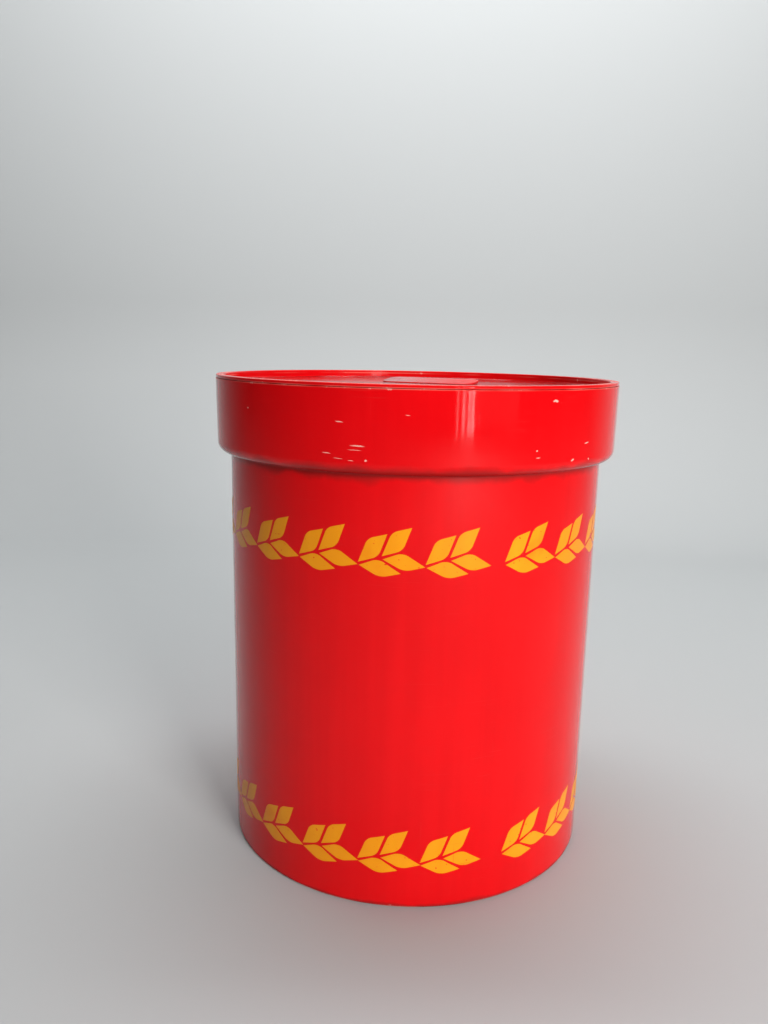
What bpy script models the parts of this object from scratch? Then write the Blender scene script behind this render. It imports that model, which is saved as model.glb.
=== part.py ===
"""Round bread bin with a lift-out lid.

A pot with a wide collar, a lid that drops inside the collar, and a low wedge-shaped grip on the
lid with a finger well behind it.  Metres, +Z up.  The origin is under the middle of the pot, on
the surface that it stands on, and the front is -Y.
"""

import math

import bmesh
import bpy
from mathutils import Matrix

# Driving dimensions
HEIGHT = 0.300                  # floor to the top of the lid's lip
WALL = 0.0026                   # the pot's wall
FIT_GAP = 0.0003                # between two pieces that touch
SIDES = 72                      # facets around the turned pieces

# Pot
FOOT_RADIUS = 0.1172            # outside, at the floor
NECK_RADIUS = 0.1184            # outside, just under the collar
FOOT_RING_WIDTH = 0.0045
FOOT_RING_HEIGHT = 0.0030
COLLAR_Z = 0.2527               # underside of the collar
COLLAR_LOW_RADIUS = 0.1265
COLLAR_TOP_RADIUS = 0.1273
COLLAR_ROUND = 0.0060           # lower outer corner of the collar

# Lid
LIP_THICKNESS = 0.0019
LIP_RADIUS = 0.1271
LID_WALL = 0.0020
LID_CLEARANCE = 0.0004          # between the lid's wall and the collar
SKIRT_LENGTH = 0.0200           # lip top to the lower edge of the skirt
PLATE_DEPTH = 0.0050            # lip top down to the plate
PLATE_THICKNESS = 0.0026

# Grip and finger well, in a frame turned about the bin's axis: U along the grip, V across it
GRIP_TURN = math.radians(-22)
GRIP_HALF_LENGTH = 0.032
GRIP_NEAR = 0.014               # V of the low edge
GRIP_FAR = 0.037                # V of the high edge
GRIP_CORNER = 0.007
TOE_HEIGHT = 0.0005             # low edge above the plate
CREST_HEIGHT = 0.0030           # high edge above the plate
GRIP_SKIN = 0.0016
SEAT_DEPTH = 0.0014             # the grip's shallow seat in the plate
WELL_HALF_LENGTH = 0.026
WELL_NEAR = 0.021
WELL_FAR = 0.058
WELL_CORNER = 0.009
WELL_DEPTH = 0.0110
WELL_WALL = 0.0018
PEG_PLACES = ((-0.020, 0.0162), (0.020, 0.0162))
PEG_RADIUS = 0.0020
PEG_HEAD_RADIUS = 0.0029
PEG_HEAD = 0.0012

# Heights that follow from the dimensions above
LIP_UNDERSIDE = HEIGHT - LIP_THICKNESS
COLLAR_TOP = LIP_UNDERSIDE - FIT_GAP
PLATE_TOP = HEIGHT - PLATE_DEPTH
PLATE_UNDERSIDE = PLATE_TOP - PLATE_THICKNESS
SKIRT_END = HEIGHT - SKIRT_LENGTH

RED = (0.72, 0.012, 0.010, 1.0)


def clear_scene():
    for item in list(bpy.data.objects):
        bpy.data.objects.remove(item)


def arc(centre, radius, start, end, steps):
    """Points (r, z) on an arc, with its angles in degrees."""
    points = []
    for step in range(steps + 1):
        angle = math.radians(start + (end - start) * step / steps)
        points.append((centre[0] + radius * math.cos(angle), centre[1] + radius * math.sin(angle)))
    return points


def plastic(name, colour, roughness):
    material = bpy.data.materials.new(name)
    material.use_nodes = True
    shader = material.node_tree.nodes["Principled BSDF"]
    shader.inputs["Base Color"].default_value = colour
    shader.inputs["Roughness"].default_value = roughness
    shader.inputs["Metallic"].default_value = 0.0
    return material


def finish(name, bm, material=None):
    """Turn a closed bmesh into a smooth-shaded object in the scene."""
    bmesh.ops.remove_doubles(bm, verts=bm.verts, dist=1e-6)
    bmesh.ops.recalc_face_normals(bm, faces=bm.faces)
    mesh = bpy.data.meshes.new(name)
    bm.to_mesh(mesh)
    bm.free()
    mesh.shade_smooth()
    mesh.set_sharp_from_angle(angle=math.radians(35))
    item = bpy.data.objects.new(name, mesh)
    bpy.context.scene.collection.objects.link(item)
    if material:
        mesh.materials.append(material)
    return item


def turned(name, outline, material):
    """Spin an outline of (r, z) points, which starts and ends on the axis, into a solid."""
    bm = bmesh.new()
    verts = [bm.verts.new((r, 0, z)) for r, z in outline]
    edges = [bm.edges.new(pair) for pair in zip(verts, verts[1:])]
    bmesh.ops.spin(bm, geom=verts + edges, cent=(0, 0, 0), axis=(0, 0, 1), dvec=(0, 0, 0),
                   angle=math.tau, steps=SIDES)
    return finish(name, bm, material)


def rounded_rectangle(u_low, u_high, v_low, v_high, corner, steps):
    """Plan points (u, v), anticlockwise."""
    points = []
    corners = ((u_high, v_low, -90), (u_high, v_high, 0), (u_low, v_high, 90), (u_low, v_low, 180))
    for u, v, start in corners:
        centre = (u - math.copysign(corner, u), v - corner if v == v_high else v + corner)
        points += arc(centre, corner, start, start + 90, steps)
    return points


def prism(name, plan, low, top, material=None, round_top=0.0, round_low=0.0):
    """A block with a flat base at `low` and an upper face at the height top(u, v).

    The top and the base can have their outer edges rounded.
    """
    bm = bmesh.new()
    lower = [bm.verts.new((u, v, low)) for u, v in plan]
    upper = [bm.verts.new((u, v, top(u, v))) for u, v in plan]
    base_face = bm.faces.new(reversed(lower))
    top_face = bm.faces.new(upper)
    count = len(plan)
    for i in range(count):
        j = (i + 1) % count
        bm.faces.new((lower[i], lower[j], upper[j], upper[i]))
    for face, width in ((top_face, round_top), (base_face, round_low)):
        if width:
            bmesh.ops.bevel(bm, geom=list(face.edges), offset=width, segments=2, profile=0.5,
                            affect="EDGES")
    bmesh.ops.transform(bm, matrix=Matrix.Rotation(GRIP_TURN, 4, "Z"), verts=bm.verts)
    return finish(name, bm, material)


def post(name, place, radius, low, high):
    """An upright round post at a place given in the grip's own frame."""
    bm = bmesh.new()
    bmesh.ops.create_cone(bm, cap_ends=True, segments=16, radius1=radius, radius2=radius,
                          depth=high - low)
    bmesh.ops.translate(bm, vec=(place[0], place[1], (low + high) / 2), verts=bm.verts)
    bmesh.ops.transform(bm, matrix=Matrix.Rotation(GRIP_TURN, 4, "Z"), verts=bm.verts)
    return finish(name, bm)


def combine(item, tool, operation):
    """Add or cut with a tool shape, which stays in the scene as a hidden guide."""
    tool.hide_render = True
    tool.display_type = "WIRE"
    step = item.modifiers.new(tool.name, "BOOLEAN")
    step.operation = operation
    step.solver = "EXACT"
    step.object = tool


def flat(height):
    return lambda u, v: height


def grip_top(u, v):
    """The grip's upper face, which climbs from the toe to the crest."""
    climb = (v - GRIP_NEAR) / (GRIP_FAR - GRIP_NEAR)
    return PLATE_TOP + TOE_HEIGHT + (CREST_HEIGHT - TOE_HEIGHT) * climb


def grip_plan(grow):
    return rounded_rectangle(-GRIP_HALF_LENGTH - grow, GRIP_HALF_LENGTH + grow, GRIP_NEAR - grow,
                             GRIP_FAR + grow, GRIP_CORNER + grow, 4)


def well_plan(grow):
    return rounded_rectangle(-WELL_HALF_LENGTH - grow, WELL_HALF_LENGTH + grow, WELL_NEAR - grow,
                             WELL_FAR + grow, WELL_CORNER + grow, 4)


def make_pot(material):
    neck_fillet = 0.0010
    edge = 0.0008
    collar_inner_top = COLLAR_TOP_RADIUS - WALL
    collar_inner_low = COLLAR_LOW_RADIUS - WALL
    ledge_z = COLLAR_Z + WALL
    ledge_round = COLLAR_ROUND - WALL
    neck_inner = NECK_RADIUS - WALL
    foot_inner = FOOT_RADIUS - WALL
    floor_top = FOOT_RING_HEIGHT + WALL
    floor_round = 0.0050

    outline = [(0, FOOT_RING_HEIGHT),
               (FOOT_RADIUS - FOOT_RING_WIDTH - 0.0006, FOOT_RING_HEIGHT),
               (FOOT_RADIUS - FOOT_RING_WIDTH, 0)]
    outline += arc((FOOT_RADIUS - edge, edge), edge, -90, 0, 2)
    outline += arc((NECK_RADIUS + neck_fillet, COLLAR_Z - neck_fillet), neck_fillet, 180, 90, 2)
    outline += arc((COLLAR_LOW_RADIUS - COLLAR_ROUND, COLLAR_Z + COLLAR_ROUND), COLLAR_ROUND,
                   -90, 0, 5)
    outline += arc((COLLAR_TOP_RADIUS - edge, COLLAR_TOP - edge), edge, 0, 90, 2)
    outline += [(collar_inner_top, COLLAR_TOP)]
    outline += arc((collar_inner_low - ledge_round, ledge_z + ledge_round), ledge_round, 0, -90, 3)
    outline += arc((neck_inner + edge, ledge_z - edge), edge, 90, 180, 2)
    outline += arc((foot_inner - floor_round, floor_top + floor_round), floor_round, 0, -90, 3)
    outline += [(0, floor_top)]
    return turned("body", outline, material)


def make_lid(material):
    edge = 0.0006
    wall_outside = COLLAR_TOP_RADIUS - WALL - LID_CLEARANCE
    wall_inside = wall_outside - LID_WALL
    skirt_outside = wall_outside - 0.0004
    skirt_inside = skirt_outside - LID_WALL

    outline = [(0, PLATE_UNDERSIDE), (skirt_inside, PLATE_UNDERSIDE), (skirt_inside, SKIRT_END),
               (skirt_outside - edge, SKIRT_END), (skirt_outside, SKIRT_END + edge),
               (wall_outside, LIP_UNDERSIDE), (LIP_RADIUS, LIP_UNDERSIDE)]
    outline += arc((LIP_RADIUS - edge, HEIGHT - edge), edge, 0, 90, 2)
    outline += arc((wall_inside + edge, HEIGHT - edge), edge, 90, 180, 2)
    outline += arc((wall_inside - edge, PLATE_TOP + edge), edge, 0, -90, 2)
    outline += [(0, PLATE_TOP)]
    lid = turned("lid", outline, material)

    well_shell = prism("well_shell", well_plan(WELL_WALL), PLATE_TOP - WELL_DEPTH - WELL_WALL,
                       flat(PLATE_TOP - PLATE_THICKNESS / 2), round_low=0.0040)
    combine(lid, well_shell, "UNION")
    seat = prism("grip_seat", grip_plan(FIT_GAP), PLATE_TOP - SEAT_DEPTH, flat(HEIGHT))
    combine(lid, seat, "DIFFERENCE")
    well = prism("well_hollow", well_plan(0), PLATE_TOP - WELL_DEPTH, flat(HEIGHT),
                 round_low=0.0030)
    combine(lid, well, "DIFFERENCE")
    for number, place in enumerate(PEG_PLACES, 1):
        hole = post(f"peg_hole_{number}", place, PEG_RADIUS + FIT_GAP, PLATE_UNDERSIDE - 0.001,
                    PLATE_TOP)
        combine(lid, hole, "DIFFERENCE")
    return lid


def make_grip(material):
    base = PLATE_TOP - SEAT_DEPTH + FIT_GAP
    grip = prism("lid_grip", grip_plan(0), base, grip_top, material, round_top=0.0006)

    def hollow_top(u, v):
        return grip_top(u, v) - GRIP_SKIN

    hollow_plan = rounded_rectangle(-WELL_HALF_LENGTH, WELL_HALF_LENGTH, WELL_NEAR,
                                    GRIP_FAR + 0.010, 0.004, 3)
    hollow = prism("grip_hollow", hollow_plan, base - 0.005, hollow_top)
    combine(grip, hollow, "DIFFERENCE")

    head_top = PLATE_UNDERSIDE - FIT_GAP
    for number, place in enumerate(PEG_PLACES, 1):
        peg = post(f"peg_{number}", place, PEG_RADIUS, head_top - PEG_HEAD / 2, base + 0.0005)
        combine(grip, peg, "UNION")
        head = post(f"peg_head_{number}", place, PEG_HEAD_RADIUS, head_top - PEG_HEAD, head_top)
        combine(grip, head, "UNION")
    return grip


def main():
    clear_scene()
    make_pot(plastic("pot_red", RED, 0.22))
    lid = make_lid(plastic("lid_red", RED, 0.25))
    grip = make_grip(plastic("grip_red", RED, 0.25))
    grip.parent = lid


main()
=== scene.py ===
"""Looks of the round bread bin: glossy red moulded pot, lift-out lid with a low finger grip, and
two printed bands of leaves.  Metres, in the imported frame: +Z up, the front is -Y."""

import math

import bpy
from mathutils import Matrix, Vector


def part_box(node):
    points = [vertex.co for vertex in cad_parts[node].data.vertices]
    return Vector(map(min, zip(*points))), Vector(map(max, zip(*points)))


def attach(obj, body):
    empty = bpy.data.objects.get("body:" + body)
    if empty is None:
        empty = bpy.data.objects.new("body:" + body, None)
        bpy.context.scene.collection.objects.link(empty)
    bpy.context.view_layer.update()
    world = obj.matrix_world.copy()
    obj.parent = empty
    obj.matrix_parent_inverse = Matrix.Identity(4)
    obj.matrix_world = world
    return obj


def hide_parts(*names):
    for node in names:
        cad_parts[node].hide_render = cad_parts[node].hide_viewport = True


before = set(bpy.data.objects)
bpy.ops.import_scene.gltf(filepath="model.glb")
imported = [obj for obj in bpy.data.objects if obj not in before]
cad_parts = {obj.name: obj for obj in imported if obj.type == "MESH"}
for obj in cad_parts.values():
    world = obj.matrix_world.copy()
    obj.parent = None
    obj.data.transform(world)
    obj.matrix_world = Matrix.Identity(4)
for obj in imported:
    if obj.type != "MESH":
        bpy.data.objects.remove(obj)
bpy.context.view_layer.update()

# Sizes read from the frame
_, pot_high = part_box("body")
lid_low, lid_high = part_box("lid")
HEIGHT = lid_high.z
COLLAR_TOP_RADIUS = pot_high.x
COLLAR_TOP = pot_high.z
LIP_RADIUS = lid_high.x
SKIRT_END = lid_low.z

# Sizes of the mouldings
SEGMENTS = 240                   # around a turned piece
WALL = 0.0026
FOOT_RADIUS = COLLAR_TOP_RADIUS - 0.0101
NECK_RADIUS = COLLAR_TOP_RADIUS - 0.0089
COLLAR_LOW_RADIUS = COLLAR_TOP_RADIUS - 0.0008
COLLAR_Z = HEIGHT - 0.0473
COLLAR_ROUND = 0.0060
FOOT_RING_WIDTH = 0.0045
FOOT_RING_HEIGHT = 0.0030
LID_WALL = 0.0020
LID_WALL_RADIUS = COLLAR_TOP_RADIUS - WALL - 0.0004
LIP_UNDERSIDE = HEIGHT - 0.0019
PLATE_TOP = HEIGHT - 0.0050
PLATE_UNDERSIDE = PLATE_TOP - 0.0026
SOFT_EDGE = 0.0006               # the small rounds of moulded edges
GUARD = 0.0004                   # width of the flat strip kept beside each round
POLE_RADIUS = 0.003              # of the small disc that closes a turned piece on its axis
CRISP_EDGE = 0.0002

# Grip and finger well: U along the grip, V across it, turned about the bin's axis
GRIP_TURN = math.radians(-22)
GRIP_HALF_LENGTH = 0.032
GRIP_NEAR = 0.014
GRIP_FAR = 0.037
GRIP_CORNER = 0.007
TOE_HEIGHT = 0.0005
CREST_HEIGHT = 0.0030
GRIP_SKIN = 0.0016
SEAT_DEPTH = 0.0014
FIT_GAP = 0.0003
WELL_HALF_LENGTH = 0.026
WELL_NEAR = 0.021
WELL_FAR = 0.058
WELL_CORNER = 0.009
WELL_DEPTH = 0.0110
WELL_WALL = 0.0018

# Printed bands: each unit is two pairs of leaves, repeated to the right around the wall
INK_PROUD = 0.00006
INK_THICKNESS = 0.00004
UNITS = 20
UPPER_BAND = (0.2040, math.radians(25.65), math.radians(17.80))      # height, start, pitch
LOWER_BAND = (0.0280, math.radians(29.30), math.radians(17.65))
PAIR_STEP = (0.0131, 0.0039)     # second pair of a unit from the first: along, up
UPPER_LEAF = ((-0.0002, 0.0007), (0.0050, 0.0140), (0.0157, 0.0168), (0.0110, 0.0042))
LOWER_LEAF = ((0.0003, -0.0010), (0.0110, 0.0032), (0.0232, -0.0046), (0.0119, -0.0072))
UPPER_LEAF_ROUND = 0.0030
LOWER_LEAF_ROUND = 0.0036
LEAF_STEPS = 6                   # facets of each rounded leaf corner
BAND_BELOW = 0.015               # skin needed below and above a band's line of leaf bases
BAND_ABOVE = 0.028
BLOCK_DEPTH = 0.006              # of the blocks that cut the leaves out of the skin
PLANE_HALF = 0.001               # half the plane that each block starts from
ASIDE = 0.1                      # corners are moved this far off, clear of those still to move
TOUCHING = 0.00001


# ---------------------------------------------------------------- modelling tools

def edit(item):
    bpy.ops.object.select_all(action="DESELECT")
    item.select_set(True)
    bpy.context.view_layer.objects.active = item
    bpy.ops.object.mode_set(mode="EDIT")
    bpy.ops.mesh.select_all(action="DESELECT")


def leave_edit():
    bpy.ops.object.mode_set(mode="OBJECT")


def select_edges(item, wanted):
    """In edit mode: select the edges for which wanted(first point, second point) is true."""
    bpy.ops.mesh.select_mode(type="EDGE")
    bpy.ops.mesh.select_all(action="DESELECT")
    leave_edit()
    mesh = item.data
    for edge in mesh.edges:
        first, second = (mesh.vertices[i].co for i in edge.vertices)
        edge.select = wanted(first, second)
    bpy.ops.object.mode_set(mode="EDIT")


def select_points(item, spots):
    """In edit mode: select the points that lie on any of the spots, seen from above."""
    bpy.ops.mesh.select_mode(type="VERT")
    bpy.ops.mesh.select_all(action="DESELECT")
    leave_edit()
    for vertex in item.data.vertices:
        here = (vertex.co.x, vertex.co.y)
        vertex.select = any(math.dist(here, spot) < TOUCHING for spot in spots)
    bpy.ops.object.mode_set(mode="EDIT")


def close_shell(item):
    """Close open rings, merge doubles and turn all faces outwards."""
    bpy.ops.mesh.select_mode(type="VERT")
    bpy.ops.mesh.select_all(action="SELECT")
    bpy.ops.mesh.remove_doubles(threshold=0.000002)
    bpy.ops.mesh.fill_holes(sides=0)
    bpy.ops.mesh.select_all(action="SELECT")
    bpy.ops.mesh.normals_make_consistent(inside=False)
    leave_edit()


def apply_modifiers(item):
    bpy.ops.object.select_all(action="DESELECT")
    item.select_set(True)
    bpy.context.view_layer.objects.active = item
    for step in list(item.modifiers):
        bpy.ops.object.modifier_apply(modifier=step.name)


def with_guards(corners):
    """Add a ring just clear of each rounded corner, so that its round doesn't tint the long
    straight walls beside it."""
    rings = [corners[0]]
    for here, there in zip(corners, corners[1:]):
        run = Vector((there[0] - here[0], there[1] - here[1]))
        length = run.length
        for gap, end in ((here[2], here), (-there[2], there)):
            if gap and length > 2 * (here[2] + there[2] + GUARD):
                share = (abs(gap) + GUARD) / length * (1 if gap > 0 else -1)
                rings.append((end[0] + run.x * share, end[1] + run.y * share, 0, 0))
        rings.append(there)
    return rings


def turned(name, corners):
    """Model a turned shell from a ring pulled along its corners (radius, height, round, steps),
    then round the corner rings."""
    rings = with_guards(corners)
    radius, height = rings[0][:2]
    bpy.ops.object.select_all(action="DESELECT")
    bpy.ops.mesh.primitive_circle_add(vertices=SEGMENTS, radius=radius, fill_type="NOTHING")
    item = bpy.context.object
    item.name = item.data.name = name
    edit(item)
    bpy.ops.mesh.select_all(action="SELECT")
    bpy.ops.transform.translate(value=(0, 0, height))
    for next_radius, next_height, _, _ in rings[1:]:
        bpy.ops.mesh.extrude_region_move(
            TRANSFORM_OT_translate={"value": (0, 0, next_height - height)})
        share = next_radius / radius
        bpy.ops.transform.resize(value=(share, share, 1), center_override=(0, 0, 0))
        radius, height = next_radius, next_height
    close_shell(item)
    bpy.ops.object.mode_set(mode="EDIT")
    for radius, height, width, steps in corners:
        if width:
            def on_ring(first, second, radius=radius, height=height):
                return all(abs(math.hypot(p.x, p.y) - radius) < 0.00002
                           and abs(p.z - height) < 0.00002 for p in (first, second))
            select_edges(item, on_ring)
            bpy.ops.mesh.bevel(offset=width, offset_type="OFFSET", segments=steps, profile=0.5,
                               affect="EDGES")
    leave_edit()
    bpy.ops.object.shade_smooth_by_angle(angle=math.radians(35))
    return item


def slab(name, half_length, near, far, corner, low, high, corner_steps=6):
    """A rounded plate in the grip's frame: a plane with rounded corners, pulled up."""
    bpy.ops.object.select_all(action="DESELECT")
    bpy.ops.mesh.primitive_plane_add(size=1, location=(0, (near + far) / 2, low))
    item = bpy.context.object
    item.name = item.data.name = name
    item.scale = (2 * half_length, far - near, 1)
    bpy.ops.object.transform_apply(location=True, rotation=False, scale=True)
    edit(item)
    bpy.ops.mesh.select_all(action="SELECT")
    bpy.ops.mesh.bevel(offset=corner, offset_type="OFFSET", segments=corner_steps,
                       affect="VERTICES")
    bpy.ops.mesh.select_all(action="SELECT")
    bpy.ops.mesh.extrude_region_move(TRANSFORM_OT_translate={"value": (0, 0, high - low)})
    close_shell(item)
    return item


def turn_in_place(item):
    """Turn a piece from the grip's own frame into the bin's, in its mesh."""
    item.data.transform(Matrix.Rotation(GRIP_TURN, 4, "Z"))
    return item


def cut(item, cutter, operation="DIFFERENCE"):
    step = item.modifiers.new(cutter.name, "BOOLEAN")
    step.operation = operation
    step.object = cutter
    apply_modifiers(item)
    bpy.data.objects.remove(cutter)


def soften(item, width, angle=40, steps=3):
    """Small even rounds on all sharp edges, with flat faces kept flat."""
    step = item.modifiers.new("soft_edges", "BEVEL")
    step.limit_method = "ANGLE"
    step.angle_limit = math.radians(angle)
    step.width = width
    step.segments = steps
    step.use_clamp_overlap = True
    step.harden_normals = True
    apply_modifiers(item)


# ---------------------------------------------------------------- pieces

def wall_radius(height):
    """Outside radius of the pot's tapered wall."""
    return FOOT_RADIUS + (NECK_RADIUS - FOOT_RADIUS) * height / COLLAR_Z


def make_pot():
    foot_inner = FOOT_RADIUS - FOOT_RING_WIDTH
    floor_top = FOOT_RING_HEIGHT + WALL
    ledge_top = COLLAR_Z + WALL
    ledge_round = COLLAR_ROUND - WALL
    corners = [
        (POLE_RADIUS, FOOT_RING_HEIGHT, 0, 0),
        (foot_inner - 0.0006, FOOT_RING_HEIGHT, 0.0005, 2),
        (foot_inner, 0, 0.0003, 2),
        (FOOT_RADIUS, 0, 0.0009, 3),
        (NECK_RADIUS, COLLAR_Z, 0.0009, 3),
        (COLLAR_LOW_RADIUS, COLLAR_Z, COLLAR_ROUND, 8),
        (COLLAR_TOP_RADIUS, COLLAR_TOP, CRISP_EDGE, 2),
        (COLLAR_TOP_RADIUS - WALL, COLLAR_TOP, SOFT_EDGE, 3),
        (COLLAR_LOW_RADIUS - WALL, ledge_top, ledge_round, 5),
        (NECK_RADIUS - WALL, ledge_top, 0.0010, 3),
        (FOOT_RADIUS - WALL, floor_top, 0.0050, 6),
        (POLE_RADIUS, floor_top, 0, 0)]
    return turned("pot", corners)


def make_lid():
    inside = LID_WALL_RADIUS - LID_WALL
    skirt = LID_WALL_RADIUS - 0.0004
    corners = [
        (POLE_RADIUS, PLATE_UNDERSIDE, 0, 0),
        (skirt - LID_WALL, PLATE_UNDERSIDE, 0.0010, 3),
        (skirt - LID_WALL, SKIRT_END, SOFT_EDGE, 3),
        (skirt, SKIRT_END, SOFT_EDGE, 3),
        (LID_WALL_RADIUS, LIP_UNDERSIDE, CRISP_EDGE, 2),
        (LIP_RADIUS, LIP_UNDERSIDE, CRISP_EDGE, 2),
        (LIP_RADIUS, HEIGHT, SOFT_EDGE, 4),
        (inside, HEIGHT, SOFT_EDGE, 4),
        (inside - 0.0002, PLATE_TOP, 0.0010, 4),
        (POLE_RADIUS, PLATE_TOP, 0, 0)]
    lid = turned("lid_moulding", corners)

    well_base = PLATE_TOP - WELL_DEPTH
    shell = slab("well_shell", WELL_HALF_LENGTH + WELL_WALL, WELL_NEAR - WELL_WALL,
                 WELL_FAR + WELL_WALL, WELL_CORNER + WELL_WALL, well_base - WELL_WALL,
                 PLATE_TOP - 0.0010)
    round_base(shell, 0.0040)
    cut(lid, turn_in_place(shell), "UNION")
    seat = slab("seat", GRIP_HALF_LENGTH + FIT_GAP, GRIP_NEAR - FIT_GAP, GRIP_FAR + FIT_GAP,
                GRIP_CORNER + FIT_GAP, PLATE_TOP - SEAT_DEPTH, HEIGHT)
    cut(lid, turn_in_place(seat))
    hollow = slab("well", WELL_HALF_LENGTH, WELL_NEAR, WELL_FAR, WELL_CORNER, well_base, HEIGHT)
    round_base(hollow, 0.0030)
    cut(lid, turn_in_place(hollow))
    bpy.context.view_layer.objects.active = lid
    lid.select_set(True)
    bpy.ops.object.shade_smooth_by_angle(angle=math.radians(35))
    return lid


def round_base(item, width):
    """Round the lower outer edges of an upright block."""
    base = min(v.co.z for v in item.data.vertices)
    edit(item)
    select_edges(item, lambda a, b: abs(a.z - base) < 1e-6 and abs(b.z - base) < 1e-6)
    bpy.ops.mesh.bevel(offset=width, offset_type="OFFSET", segments=5, profile=0.5,
                       affect="EDGES")
    leave_edit()


def make_grip():
    base = PLATE_TOP - SEAT_DEPTH + FIT_GAP
    toe = PLATE_TOP + TOE_HEIGHT
    slope = (CREST_HEIGHT - TOE_HEIGHT) / (GRIP_FAR - GRIP_NEAR)

    def lift_far_side(item):
        """Tilt the upper face up towards the far side."""
        for vertex in item.data.vertices:
            if vertex.co.z > base:
                vertex.co.z += slope * (vertex.co.y - GRIP_NEAR)

    grip = slab("grip_moulding", GRIP_HALF_LENGTH, GRIP_NEAR, GRIP_FAR, GRIP_CORNER, base, toe, 8)
    lift_far_side(grip)
    hollow = slab("grip_hollow", WELL_HALF_LENGTH, WELL_NEAR, GRIP_FAR + 0.010, 0.004,
                  base - 0.005, toe - GRIP_SKIN)
    lift_far_side(hollow)
    cut(grip, hollow)
    soften(grip, 0.0005)
    bpy.ops.object.shade_smooth_by_angle(angle=math.radians(35))
    return turn_in_place(grip)


def leaf_block(corners, width, start, height, radius, step):
    """A block with a leaf's outline, standing across the wall with the leaf facing outwards.
    The corners run from the leaf's base, and the second and fourth are rounded."""
    bpy.ops.object.select_all(action="DESELECT")
    bpy.ops.mesh.primitive_plane_add(size=2 * PLANE_HALF)
    item = bpy.context.object
    edit(item)
    for (x, y), (side_x, side_y) in zip(corners, ((-1, -1), (-1, 1), (1, 1), (1, -1))):
        old_x, old_y = side_x * PLANE_HALF, side_y * PLANE_HALF
        select_points(item, ((old_x, old_y),))
        bpy.ops.transform.translate(value=(x - old_x + ASIDE, y - old_y, 0))
    select_points(item, [(corners[place][0] + ASIDE, corners[place][1]) for place in (1, 3)])
    bpy.ops.mesh.bevel(offset=width, offset_type="OFFSET", segments=LEAF_STEPS, profile=0.5,
                       affect="VERTICES")
    bpy.ops.mesh.select_all(action="SELECT")
    bpy.ops.mesh.extrude_region_move(TRANSFORM_OT_translate={"value": (0, 0, BLOCK_DEPTH)})
    close_shell(item)
    middle = (corners[0][0] + corners[2][0]) / 2
    angle = start + (middle + step[0]) / radius
    across_wall = Matrix.Translation((0, BLOCK_DEPTH / 2 - radius, 0))
    upright = across_wall @ Matrix.Rotation(math.pi / 2, 4, "X")
    shift = Matrix.Translation((-middle - ASIDE, height + step[1], 0))
    item.data.transform(Matrix.Rotation(angle, 4, "Z") @ upright @ shift)
    return item


def join(items):
    bpy.ops.object.select_all(action="DESELECT")
    for item in items:
        item.select_set(True)
    bpy.context.view_layer.objects.active = items[0]
    bpy.ops.object.join()
    return items[0]


def make_band(name, band):
    """A printed garland: one unit is cut out of a thin skin over the wall, then repeated."""
    height, start, pitch = band
    radius = wall_radius(height)
    low, high = height - BAND_BELOW, height + BAND_ABOVE
    outside = INK_PROUD
    inside = INK_PROUD - INK_THICKNESS
    skin = [
        (wall_radius(low) + inside, low, 0, 0),
        (wall_radius(low) + outside, low, 0, 0),
        (wall_radius(high) + outside, high, 0, 0),
        (wall_radius(high) + inside, high, 0, 0),
        (wall_radius(low) + inside, low, 0, 0)]
    unit = turned(name, skin)
    blocks = []
    for step in ((0, 0), PAIR_STEP):
        blocks.append(leaf_block(UPPER_LEAF, UPPER_LEAF_ROUND, start, height, radius, step))
        blocks.append(leaf_block(LOWER_LEAF, LOWER_LEAF_ROUND, start, height, radius, step))
    cut(unit, join(blocks), "INTERSECT")
    units = [unit]
    for place in range(1, UNITS):
        bpy.ops.object.select_all(action="DESELECT")
        unit.select_set(True)
        bpy.context.view_layer.objects.active = unit
        bpy.ops.object.duplicate()
        another = bpy.context.object
        another.data.transform(Matrix.Rotation(place * pitch, 4, "Z"))
        units.append(another)
    return join(units)


def make_leaves():
    leaves = join([make_band("printed_leaves", UPPER_BAND), make_band("lower_band", LOWER_BAND)])
    bpy.ops.object.shade_smooth_by_angle(angle=math.radians(35))
    return leaves


# ---------------------------------------------------------------- node tools

def add_node(tree, kind, **settings):
    node = tree.nodes.new(kind)
    for setting, value in settings.items():
        setattr(node, setting, value)
    return node


def feed(tree, socket, value):
    """Wire an output into a socket, or set a constant on it."""
    if isinstance(value, bpy.types.NodeSocket):
        tree.links.new(value, socket)
    else:
        socket.default_value = value


def calc(tree, operation, first, second=0.0, third=0.0):
    node = add_node(tree, "ShaderNodeMath", operation=operation)
    for socket, value in zip(node.inputs, (first, second, third)):
        feed(tree, socket, value)
    return node.outputs[0]


def rise(tree, value, low, high, top=1.0):
    """0 up to low, growing smoothly to top at high."""
    node = add_node(tree, "ShaderNodeMapRange", interpolation_type="SMOOTHSTEP")
    feed(tree, node.inputs["Value"], value)
    feed(tree, node.inputs["From Min"], low)
    feed(tree, node.inputs["From Max"], high)
    feed(tree, node.inputs["To Min"], 0.0)
    feed(tree, node.inputs["To Max"], top)
    return node.outputs["Result"]


def fall(tree, value, low, high, top=1.0):
    """top up to low, fading smoothly to 0 at high."""
    return calc(tree, "SUBTRACT", top, rise(tree, value, low, high, top))


def noise(tree, vector, scale, detail=2.0, stretch=(1, 1, 1)):
    spread = add_node(tree, "ShaderNodeVectorMath", operation="MULTIPLY")
    feed(tree, spread.inputs[0], vector)
    feed(tree, spread.inputs[1], stretch)
    node = add_node(tree, "ShaderNodeTexNoise")
    feed(tree, node.inputs["Vector"], spread.outputs[0])
    feed(tree, node.inputs["Scale"], scale)
    feed(tree, node.inputs["Detail"], detail)
    return node.outputs["Fac"]


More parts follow.
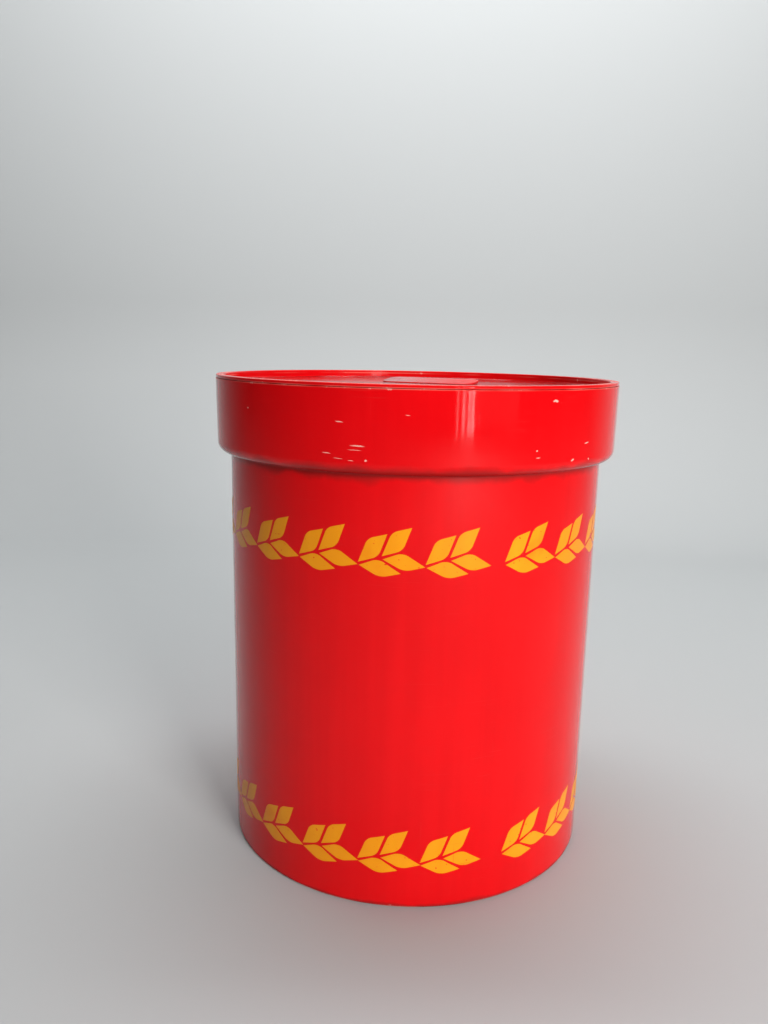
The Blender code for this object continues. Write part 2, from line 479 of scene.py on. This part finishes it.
def blend(tree, share, first, second):
    node = add_node(tree, "ShaderNodeMix", data_type="RGBA")
    feed(tree, node.inputs["Factor"], share)
    feed(tree, node.inputs[6], first)
    feed(tree, node.inputs[7], second)
    return node.outputs[2]


def new_group(name, inputs, outputs):
    """A shader node group.  Returns its tree, the sockets inside its input, and its output's."""
    tree = bpy.data.node_groups.new(name, "ShaderNodeTree")
    for label, kind in inputs:
        tree.interface.new_socket(name=label, in_out="INPUT", socket_type="NodeSocket" + kind)
    for label, kind in outputs:
        tree.interface.new_socket(name=label, in_out="OUTPUT", socket_type="NodeSocket" + kind)
    start = add_node(tree, "NodeGroupInput")
    end = add_node(tree, "NodeGroupOutput")
    return tree, start.outputs, end.inputs


def use(tree, group, *values):
    """Place a group, feed its inputs in order, and return its outputs."""
    node = add_node(tree, "ShaderNodeGroup", node_tree=group)
    for socket, value in zip(node.inputs, values):
        feed(tree, socket, value)
    return node.outputs


# ---------------------------------------------------------------- shared effects

def wall_position_group():
    """Where a point lies on the round walls: metres around from the front, and height."""
    tree, _, out = new_group("wall_position", (), (
        ("Solid", "Vector"), ("Around", "Float"), ("Height", "Float")))
    place = add_node(tree, "ShaderNodeTexCoord").outputs["Object"]
    parts = add_node(tree, "ShaderNodeSeparateXYZ")
    feed(tree, parts.inputs[0], place)
    x, y, z = parts.outputs
    front = calc(tree, "MULTIPLY", y, -1.0)
    angle = calc(tree, "ARCTAN2", x, front)
    feed(tree, out["Solid"], place)
    feed(tree, out["Around"], calc(tree, "MULTIPLY", angle, COLLAR_TOP_RADIUS))
    feed(tree, out["Height"], z)
    return tree


def mottled_colour_group():
    """Moulded plastic is never quite one colour: cloudy patches and faint upright flow lines."""
    tree, given, out = new_group("mottled_colour", (
        ("Solid", "Vector"), ("Colour", "Color"), ("Deeper", "Color")), (("Colour", "Color"),))
    clouds = noise(tree, given["Solid"], 14.0, 3.0)
    flow = noise(tree, given["Solid"], 120.0, 2.0, (1, 1, 0.04))
    mixed = calc(tree, "MULTIPLY_ADD", flow, 0.35, calc(tree, "MULTIPLY", clouds, 0.65))
    share = rise(tree, mixed, 0.38, 0.66)
    feed(tree, out["Colour"], blend(tree, share, given["Deeper"], given["Colour"]))
    return tree


def fine_scratches_group():
    """Sparse hairline scratches, mostly running around the wall."""
    tree, given, out = new_group("fine_scratches", (("Solid", "Vector"),), (("Mask", "Float"),))
    around = noise(tree, given["Solid"], 30.0, 1.0, (1, 1, 60))
    upright = noise(tree, given["Solid"], 900.0, 1.0, (1, 1, 0.03))
    patches = rise(tree, noise(tree, given["Solid"], 22.0, 2.0), 0.48, 0.66)
    lines = calc(tree, "MAXIMUM", rise(tree, around, 0.70, 0.77), rise(tree, upright, 0.75, 0.82))
    feed(tree, out["Mask"], calc(tree, "MULTIPLY", lines, patches))
    return tree


def smudge_group():
    """Where hands have dulled the gloss."""
    tree, given, out = new_group("smudges", (("Solid", "Vector"),), (("Dulling", "Float"),))
    wide = rise(tree, noise(tree, given["Solid"], 17.0, 4.0), 0.42, 0.68)
    prints = rise(tree, noise(tree, given["Solid"], 75.0, 2.0), 0.45, 0.70)
    feed(tree, out["Dulling"], calc(tree, "MULTIPLY_ADD", prints, 0.35,
                                    calc(tree, "MULTIPLY", wide, 0.65)))
    return tree


def edge_wear_and_highlight_group():
    """A rubbed and chipped line along a moulded edge at a given height. The lighter rubbed band
    is partly wear and partly a painted highlight along the edge's round.
    """
    tree, given, out = new_group("edge_wear_and_highlight", (
        ("Solid", "Vector"), ("Height", "Float"), ("Edge", "Float"), ("Reach", "Float")), (
        ("Rub_and_highlight", "Float"), ("Chips", "Float")))
    away = calc(tree, "ABSOLUTE", calc(tree, "SUBTRACT", given["Height"], given["Edge"]))
    share = calc(tree, "DIVIDE", away, given["Reach"])
    rough = noise(tree, given["Solid"], 260.0, 3.0)
    uneven = noise(tree, given["Solid"], 28.0, 2.0)
    rub_and_highlight = calc(tree, "MULTIPLY", fall(tree, share, 0.25, 1.0), rise(tree, uneven, 0.36, 0.62))
    feed(tree, out["Rub_and_highlight"], rub_and_highlight)
    bitten = calc(tree, "SUBTRACT", rough, calc(tree, "MULTIPLY", share, 0.07))
    near = fall(tree, share, 1.2, 2.2)
    chips = calc(tree, "MULTIPLY", rise(tree, bitten, 0.60, 0.64), rise(tree, uneven, 0.49, 0.57))
    feed(tree, out["Chips"], calc(tree, "MULTIPLY", chips, near))
    return tree


def knock_group():
    """One short scuff at a given place on the wall."""
    tree, given, out = new_group("knock", (
        ("Solid", "Vector"), ("Around", "Float"), ("Height", "Float"), ("Spot Around", "Float"),
        ("Spot Height", "Float"), ("Length", "Float"), ("Width", "Float"), ("Lean", "Float")), (
        ("Mask", "Float"),))
    along = calc(tree, "SUBTRACT", given["Around"], given["Spot Around"])
    across = calc(tree, "SUBTRACT", given["Height"], given["Spot Height"])
    across = calc(tree, "SUBTRACT", across, calc(tree, "MULTIPLY", along, given["Lean"]))
    ragged = calc(tree, "SUBTRACT", noise(tree, given["Solid"], 900.0, 2.0), 0.5)
    across = calc(tree, "MULTIPLY_ADD", ragged, given["Width"], across)
    along = calc(tree, "DIVIDE", along, calc(tree, "MULTIPLY", given["Length"], 0.5))
    across = calc(tree, "DIVIDE", across, calc(tree, "MULTIPLY", given["Width"], 0.5))
    squares = calc(tree, "MULTIPLY_ADD", along, along, calc(tree, "MULTIPLY", across, across))
    feed(tree, out["Mask"], fall(tree, squares, 0.10, 0.9))
    return tree


def painted_shade_group():
    """Painted shade: darkening gathered towards a ledge or corner at a given height."""
    tree, given, out = new_group("painted_shade", (
        ("Solid", "Vector"), ("Height", "Float"), ("Ledge", "Float"), ("Reach", "Float")), (
        ("Mask", "Float"),))
    away = calc(tree, "ABSOLUTE", calc(tree, "SUBTRACT", given["Height"], given["Ledge"]))
    share = calc(tree, "DIVIDE", away, given["Reach"])
    patchy = noise(tree, given["Solid"], 48.0, 4.0)
    reach = calc(tree, "MULTIPLY_ADD", patchy, 1.6, -0.2)
    feed(tree, out["Mask"], fall(tree, calc(tree, "DIVIDE", share, reach), 0.1, 1.0))
    return tree


def moulded_surface_group():
    """Slight waviness of a moulded wall, fine orange peel, and the scratches as shallow cuts."""
    tree, given, out = new_group("moulded_surface", (
        ("Solid", "Vector"), ("Cuts", "Float"), ("Waviness", "Float")), (("Normal", "Vector"),))
    waves = add_node(tree, "ShaderNodeBump")
    feed(tree, waves.inputs["Height"], noise(tree, given["Solid"], 22.0, 1.0, (1, 1, 0.35)))
    feed(tree, waves.inputs["Strength"], given["Waviness"])
    feed(tree, waves.inputs["Distance"], 0.0004)
    peel = add_node(tree, "ShaderNodeBump")
    feed(tree, peel.inputs["Height"], noise(tree, given["Solid"], 700.0, 2.0))
    feed(tree, peel.inputs["Strength"], 0.10)
    feed(tree, peel.inputs["Distance"], 0.00004)
    feed(tree, peel.inputs["Normal"], waves.outputs[0])
    cuts = add_node(tree, "ShaderNodeBump", invert=True)
    feed(tree, cuts.inputs["Height"], given["Cuts"])
    feed(tree, cuts.inputs["Strength"], 0.5)
    feed(tree, cuts.inputs["Distance"], 0.00006)
    feed(tree, cuts.inputs["Normal"], peel.outputs[0])
    feed(tree, out["Normal"], cuts.outputs[0])
    return tree


def make_groups():
    return {
        "place": wall_position_group(),
        "mottle": mottled_colour_group(),
        "scratches": fine_scratches_group(),
        "smudges": smudge_group(),
        "wear_and_highlight": edge_wear_and_highlight_group(),
        "knock": knock_group(),
        "painted_shade": painted_shade_group(),
        "surface": moulded_surface_group()}


# ---------------------------------------------------------------- materials

RED = (0.790, 0.0030, 0.0055, 1)
RED_DEEPER = (0.730, 0.0022, 0.0045, 1)
# Lighter red of rubbed edges, which also serves as a painted highlight along their rounds.
RUB_AND_HIGHLIGHT_RED = (0.92, 0.20, 0.16, 1)
BARE_SCUFF = (0.95, 0.62, 0.52, 1)
# Dark brown of the painted shade under ledges and in corners.
PAINTED_SHADE_BROWN = (0.130, 0.012, 0.010, 1)
INK = (0.93, 0.350, 0.008, 1)
INK_DEEPER = (0.88, 0.305, 0.006, 1)
GLOSS = 0.06                     # roughness of clean moulded plastic
DULLING = 0.09                   # roughness added by handling
SHEEN = 0.20                     # specular level of both plastic and ink
INK_ROUGHNESS = 0.30
WAVINESS = 0.25                  # of the moulded walls

# Knocks on the collar: degrees around, height, length, width, lean
COLLAR_KNOCKS = (
    (-17.9, 0.2801, 0.0056, 0.0008, -0.10),
    (-1.6, 0.2845, 0.0030, 0.0004, -0.05),
    (-46.9, 0.2837, 0.0014, 0.0012, 0.0),
    (-13.4, 0.2680, 0.0100, 0.0009, -0.03),
    (-14.1, 0.2658, 0.0095, 0.0004, -0.02),
    (-21.2, 0.2635, 0.0064, 0.0006, -0.06),
    (-18.2, 0.2610, 0.0066, 0.0004, -0.06),
    (-15.0, 0.2602, 0.0040, 0.0004, -0.05),
    (-11.3, 0.2605, 0.0018, 0.0013, 0.0),
    (35.6, 0.2920, 0.0050, 0.0015, -0.05),
    (48.8, 0.2683, 0.0056, 0.0009, 0.12),
    (43.1, 0.2596, 0.0034, 0.0014, 0.30),
    (31.2, 0.2622, 0.0038, 0.0006, 0.05),
    (30.7, 0.2659, 0.0016, 0.0010, 0.0),
    (50.3, 0.2591, 0.0016, 0.0012, 0.0))


def moulded_plastic(name, groups, worn_and_highlit_edges, shaded_ledges=(), knocks=()):
    """Glossy red plastic: mottled colour, scratches, knocks, rubbed edges that partly carry a
    painted highlight, and painted shade in corners and under ledges.
    """
    material = bpy.data.materials.new(name)
    material.use_nodes = True
    tree = material.node_tree
    shader = tree.nodes["Principled BSDF"]
    place = use(tree, groups["place"])
    solid, around, height = place["Solid"], place["Around"], place["Height"]

    colour = use(tree, groups["mottle"], solid, RED, RED_DEEPER)["Colour"]
    scratches = use(tree, groups["scratches"], solid)["Mask"]
    rub_and_highlight, bare = calc(tree, "MULTIPLY", scratches, 0.10), 0.0
    for edge, reach in worn_and_highlit_edges:
        wear_and_highlight = use(tree, groups["wear_and_highlight"], solid, height, edge, reach)
        rub_and_highlight = calc(tree, "MAXIMUM", rub_and_highlight, wear_and_highlight["Rub_and_highlight"])
        bare = calc(tree, "MAXIMUM", bare, calc(tree, "MULTIPLY", wear_and_highlight["Chips"], 0.5))
    for turn, level, length, width, lean in knocks:
        spot = math.radians(turn) * COLLAR_TOP_RADIUS
        mark = use(tree, groups["knock"], solid, around, height, spot, level, length, width, lean)
        bare = calc(tree, "MAXIMUM", bare, mark["Mask"])
    # Painted shade: the colour is darkened towards brown near each given ledge.
    painted_shade = 0.0
    for ledge, reach in shaded_ledges:
        dark = use(tree, groups["painted_shade"], solid, height, ledge, reach)
        painted_shade = calc(tree, "MAXIMUM", painted_shade, dark["Mask"])

    colour = blend(tree, calc(tree, "MULTIPLY", painted_shade, 0.65), colour, PAINTED_SHADE_BROWN)
    # Rubbed scratches and edges lighten the red; along the edges this is partly a painted
    # highlight.
    colour = blend(tree, calc(tree, "MULTIPLY", rub_and_highlight, 0.55), colour, RUB_AND_HIGHLIGHT_RED)
    colour = blend(tree, calc(tree, "MULTIPLY", bare, 0.75), colour, BARE_SCUFF)
    feed(tree, shader.inputs["Base Color"], colour)

    dulling = use(tree, groups["smudges"], solid)["Dulling"]
    rough = calc(tree, "MULTIPLY_ADD", dulling, DULLING, GLOSS)
    rough = calc(tree, "MULTIPLY_ADD", rub_and_highlight, 0.20, rough)
    rough = calc(tree, "MULTIPLY_ADD", painted_shade, 0.05, rough)
    rough = calc(tree, "MULTIPLY_ADD", bare, 0.35, rough)
    feed(tree, shader.inputs["Roughness"], rough)
    cuts = calc(tree, "MAXIMUM", scratches, bare)
    normal = use(tree, groups["surface"], solid, cuts, WAVINESS)["Normal"]
    feed(tree, shader.inputs["Normal"], normal)
    shader.inputs["Specular IOR Level"].default_value = SHEEN
    return material


def printed_ink(name, groups):
    """Amber ink, a little uneven, thinned by rubbing so the red shows in pinholes and lines."""
    material = bpy.data.materials.new(name)
    material.use_nodes = True
    tree = material.node_tree
    shader = tree.nodes["Principled BSDF"]
    solid = use(tree, groups["place"])["Solid"]
    colour = use(tree, groups["mottle"], solid, INK, INK_DEEPER)["Colour"]
    scratches = use(tree, groups["scratches"], solid)["Mask"]
    pinholes = rise(tree, noise(tree, solid, 620.0, 2.0), 0.69, 0.74)
    thin = rise(tree, noise(tree, solid, 40.0, 3.0), 0.58, 0.80, 0.25)
    worn = calc(tree, "MAXIMUM", calc(tree, "MULTIPLY", scratches, 0.5), pinholes)
    worn = calc(tree, "MAXIMUM", worn, thin)
    feed(tree, shader.inputs["Base Color"], blend(tree, worn, colour, RED))
    dulling = use(tree, groups["smudges"], solid)["Dulling"]
    rough = calc(tree, "MULTIPLY_ADD", dulling, DULLING, INK_ROUGHNESS)
    feed(tree, shader.inputs["Roughness"], rough)
    normal = use(tree, groups["surface"], solid, worn, WAVINESS)["Normal"]
    feed(tree, shader.inputs["Normal"], normal)
    shader.inputs["Specular IOR Level"].default_value = SHEEN
    return material


# ---------------------------------------------------------------- stage

FLOOR_SIZE = 14
BACKDROP_Y = 1.15
BACKDROP_HEIGHT = 5
SWEEP_ROUND = 0.40
BELOW_FOOT = 0.0002              # keeps the floor clear of the foot's own face
PALE = (0.47, 0.48, 0.48, 1)
NEARLY_WHITE = (1.0, 0.985, 0.965)
GLOW_WHITE = (1.0, 0.98, 0.96)
WARM_WHITE = (1.0, 0.97, 0.94)
COOL_WHITE = (0.96, 0.985, 1.0)

# Slim panes of a window: name, degrees to the right of the front, width, watts
WINDOW_PANES = (
    ("pane_far_left", 21.5, 0.022, 0.6),
    ("pane_left", 24.6, 0.050, 1.6),
    ("pane_middle", 27.4, 0.030, 1.7),
    ("pane_right", 29.4, 0.036, 2.4))


def make_stage():
    """A plain pale floor that curves up into a backdrop behind the bin."""
    bpy.ops.object.select_all(action="DESELECT")
    middle_y = BACKDROP_Y - FLOOR_SIZE / 2
    bpy.ops.mesh.primitive_plane_add(size=FLOOR_SIZE, location=(0, middle_y, -BELOW_FOOT))
    sweep = bpy.context.object
    sweep.name = "floor_and_backdrop"
    bpy.ops.object.transform_apply(location=True, rotation=False, scale=False)
    edit(sweep)
    far = BACKDROP_Y - 0.001
    select_edges(sweep, lambda a, b: min(a.y, b.y) > far)
    bpy.ops.mesh.extrude_region_move(TRANSFORM_OT_translate={"value": (0, 0, BACKDROP_HEIGHT)})
    select_edges(sweep, lambda a, b: min(a.y, b.y) > far and max(a.z, b.z) < SWEEP_ROUND)
    bpy.ops.mesh.bevel(offset=SWEEP_ROUND, offset_type="OFFSET", segments=16, profile=0.5,
                       affect="EDGES")
    leave_edit()
    bpy.ops.object.shade_smooth_by_angle(angle=math.radians(35))
    pale = bpy.data.materials.new("pale_floor")
    pale.use_nodes = True
    shader = pale.node_tree.nodes["Principled BSDF"]
    shader.inputs["Base Color"].default_value = PALE
    shader.inputs["Roughness"].default_value = 0.7
    shader.inputs["Specular IOR Level"].default_value = 0.2
    sweep.data.materials.append(pale)


def add_softbox(name, azimuth, elevation, distance, width, height, power, colour,
                target=(0, 0, 0.15)):
    """An area light aimed at the target.  Azimuth is from the front, to the right."""
    a, e = math.radians(azimuth), math.radians(elevation)
    towards = Vector((math.sin(a) * math.cos(e), -math.cos(a) * math.cos(e), math.sin(e)))
    lamp = bpy.data.lights.new(name, "AREA")
    lamp.shape = "RECTANGLE"
    lamp.size = width
    lamp.size_y = height
    lamp.energy = power
    lamp.color = colour
    item = bpy.data.objects.new(name, lamp)
    item.location = Vector(target) + towards * distance
    item.rotation_euler = towards.to_track_quat("Z", "Y").to_euler()
    bpy.context.scene.collection.objects.link(item)
    return item


def make_lights():
    """Daylight from the right.  The key lights the bin but shows in no reflection; slim panes and
    a wide glow give the gloss its highlights; the other two light the floor and the backdrop."""
    key = add_softbox("key_softbox", 32, 17, 1.8, 0.6, 0.6, 28, NEARLY_WHITE)
    key.visible_glossy = False
    for name, azimuth, width, power in WINDOW_PANES:
        add_softbox(name, azimuth, 5, 2.2, width, 0.9, power, WARM_WHITE)
    add_softbox("window_glow", 40, 8, 2.4, 1.3, 1.4, 2.2, GLOW_WHITE)
    add_softbox("overhead", 0, 82, 2.2, 1.6, 1.6, 11, COOL_WHITE, (0, 0.35, 0))
    add_softbox("backdrop_wash", 0, 48, 1.3, 1.6, 0.5, 26, COOL_WHITE, (0, BACKDROP_Y, 0.75))
    world = bpy.data.worlds.new("studio")
    world.use_nodes = True
    background = world.node_tree.nodes["Background"]
    background.inputs["Color"].default_value = (0.90, 0.95, 1.0, 1)
    background.inputs["Strength"].default_value = 0.05
    bpy.context.scene.world = world


def make_camera():
    """A phone camera held level with the rim, a little to the right of square and tipped down."""
    yaw, pitch, roll = math.radians(-1.94), math.radians(10.92), math.radians(1.14)
    camera = bpy.data.cameras.new("camera")
    camera.lens = 30.23
    camera.sensor_width = 36
    camera.clip_start = 0.01
    item = bpy.data.objects.new("camera", camera)
    turn = (Matrix.Rotation(-yaw, 4, "Z") @ Matrix.Rotation(math.radians(90) - pitch, 4, "X")
            @ Matrix.Rotation(roll, 4, "Z"))
    item.matrix_world = Matrix.Translation((0, -0.5628, 0.3187)) @ turn
    bpy.context.scene.collection.objects.link(item)
    bpy.context.scene.camera = item


def finish_piece(item, material, body, node):
    item.data.materials.clear()
    item.data.materials.append(material)
    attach(item, body)
    if node:
        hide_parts(node)


def main():
    bpy.context.scene.view_settings.view_transform = "Standard"
    make_camera()
    make_lights()
    make_stage()
    groups = make_groups()
    # The lighter rub along the collar's seam, the rim's edges and the grip's crest is partly a
    # painted highlight on their rounds.
    seam = (COLLAR_TOP, 0.0007)
    # Painted shade gathers under the collar and at the pot's foot, over the lid's sunken plate
    # and round the grip's base.
    pot_plastic = moulded_plastic(
        "pot_red", groups, (seam, (0.0004, 0.0006)),
        ((COLLAR_Z, 0.009), (0.0, 0.005)), COLLAR_KNOCKS)
    lid_plastic = moulded_plastic(
        "lid_red", groups, ((LIP_UNDERSIDE, 0.0006), (HEIGHT, 0.0004)), ((PLATE_TOP, 0.0012),))
    grip_plastic = moulded_plastic(
        "grip_red", groups, ((PLATE_TOP + CREST_HEIGHT, 0.0003),), ((PLATE_TOP, 0.0006),))
    finish_piece(make_pot(), pot_plastic, "bin", "body")
    finish_piece(make_lid(), lid_plastic, "lid", "lid")
    finish_piece(make_grip(), grip_plastic, "lid", "lid_grip")
    finish_piece(make_leaves(), printed_ink("leaf_ink", groups), "bin", None)


main()
